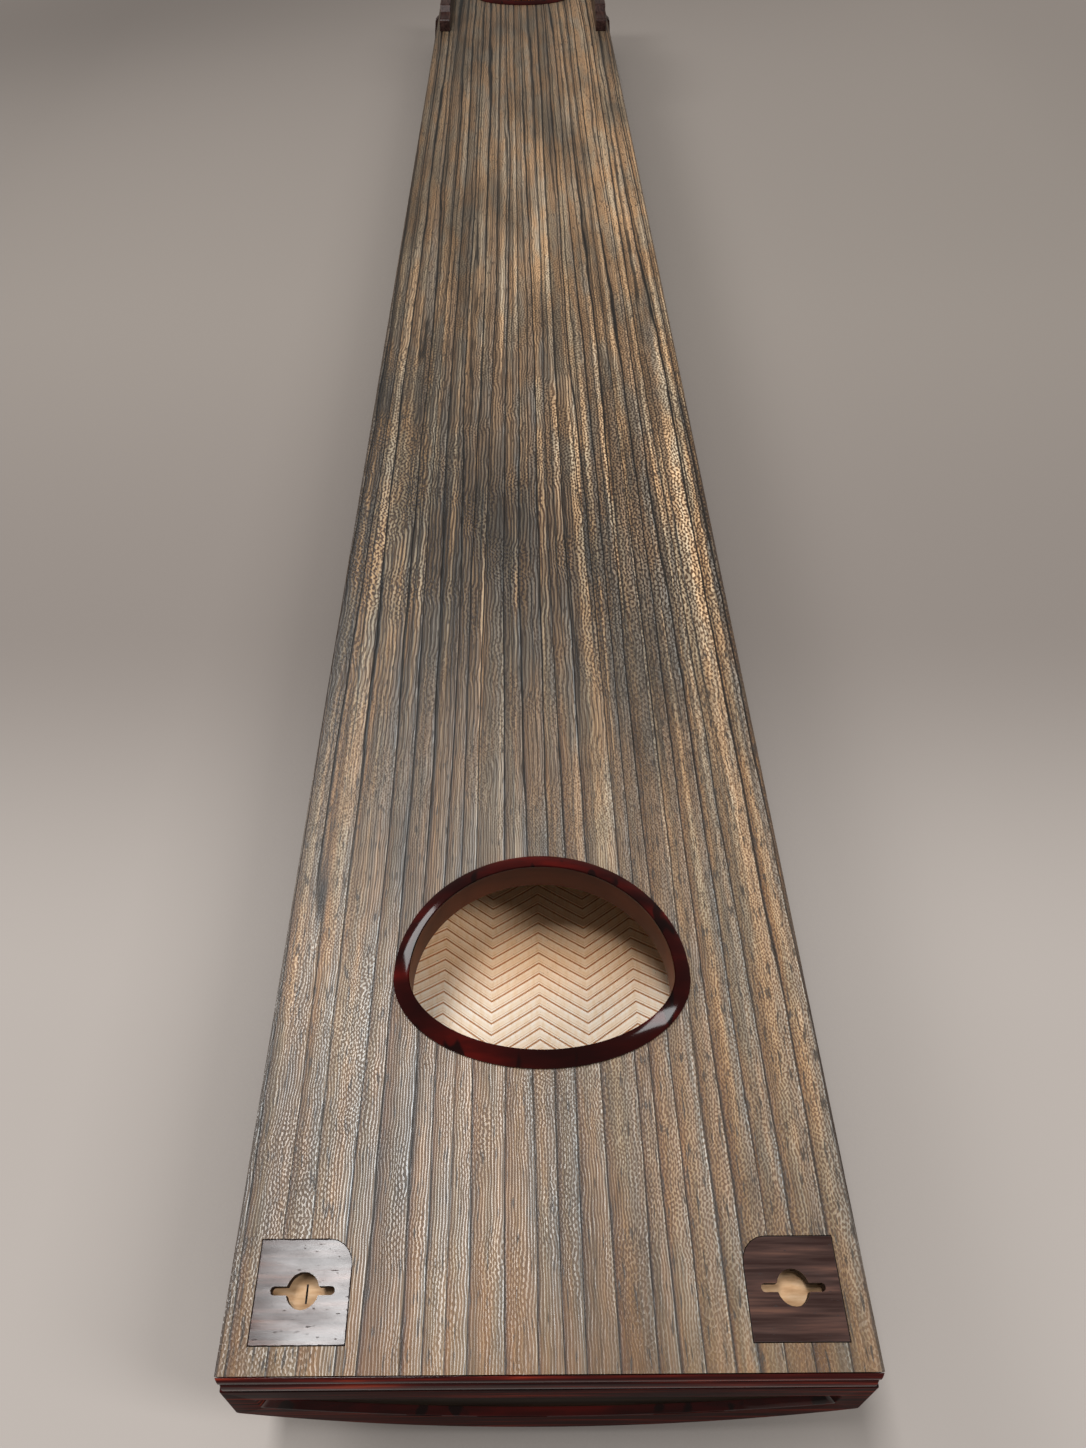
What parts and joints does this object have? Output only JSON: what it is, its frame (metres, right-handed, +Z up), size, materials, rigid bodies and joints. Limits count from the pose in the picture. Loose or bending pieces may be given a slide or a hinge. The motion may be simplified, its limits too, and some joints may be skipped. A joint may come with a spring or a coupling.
{
  "type": "koto",
  "caption": "Long arched zither body lying deck down, with rimmed sound holes in its flat back, leg plates, tail feet and strings over two ridges.",
  "frame": {"origin": "under the middle of the body, on the surface that the two ridges stand on while the koto lies deck down", "axes": "+X across to the picture's right, +Y along the body from head to tail, +Z up out of the flat back"},
  "size_m": [0.2618, 1.847, 0.1173],
  "materials": {
    "scorched_paulownia": "scorched and brushed",
    "raw_paulownia": "bare",
    "red_rosewood": "high gloss",
    "plate_rosewood": "satin",
    "dark_rosewood": "satin",
    "panel_lacquer": "gloss lacquer",
    "crest_ivory": "smooth",
    "string_white": "twisted synthetic string"
  },
  "bodies": {
    "root": {"deck_shell": "scorched_paulownia", "back_board": "scorched_paulownia", "head_bulkhead": "raw_paulownia", "tail_bulkhead": "raw_paulownia", "cross_brace_1": "raw_paulownia", "cross_brace_2": "raw_paulownia", "cross_brace_3": "raw_paulownia", "head_sound_hole_rim": "red_rosewood", "tail_sound_hole_rim": "red_rosewood", "left_leg_plate": "plate_rosewood", "right_leg_plate": "plate_rosewood", "left_leg_block": "raw_paulownia", "right_leg_block": "raw_paulownia", "head_edge_moulding": "red_rosewood", "head_end_frame": "red_rosewood", "head_mouth_panel": "panel_lacquer", "tail_edge_moulding": "red_rosewood", "tail_end_frame": "red_rosewood", "tail_mouth_panel": "panel_lacquer", "head_ridge": "dark_rosewood", "head_ridge_crest": "crest_ivory", "tail_ridge": "dark_rosewood", "tail_ridge_crest": "crest_ivory", "tail_leaf_plate": "dark_rosewood", "left_tail_foot": "dark_rosewood", "right_tail_foot": "dark_rosewood", "string_01": "string_white", "string_02": "string_white", "string_03": "string_white", "string_04": "string_white", "string_05": "string_white", "string_06": "string_white", "string_07": "string_white", "string_08": "string_white", "string_09": "string_white", "string_10": "string_white", "string_11": "string_white", "string_12": "string_white", "string_13": "string_white"}
  },
  "joints": []
}
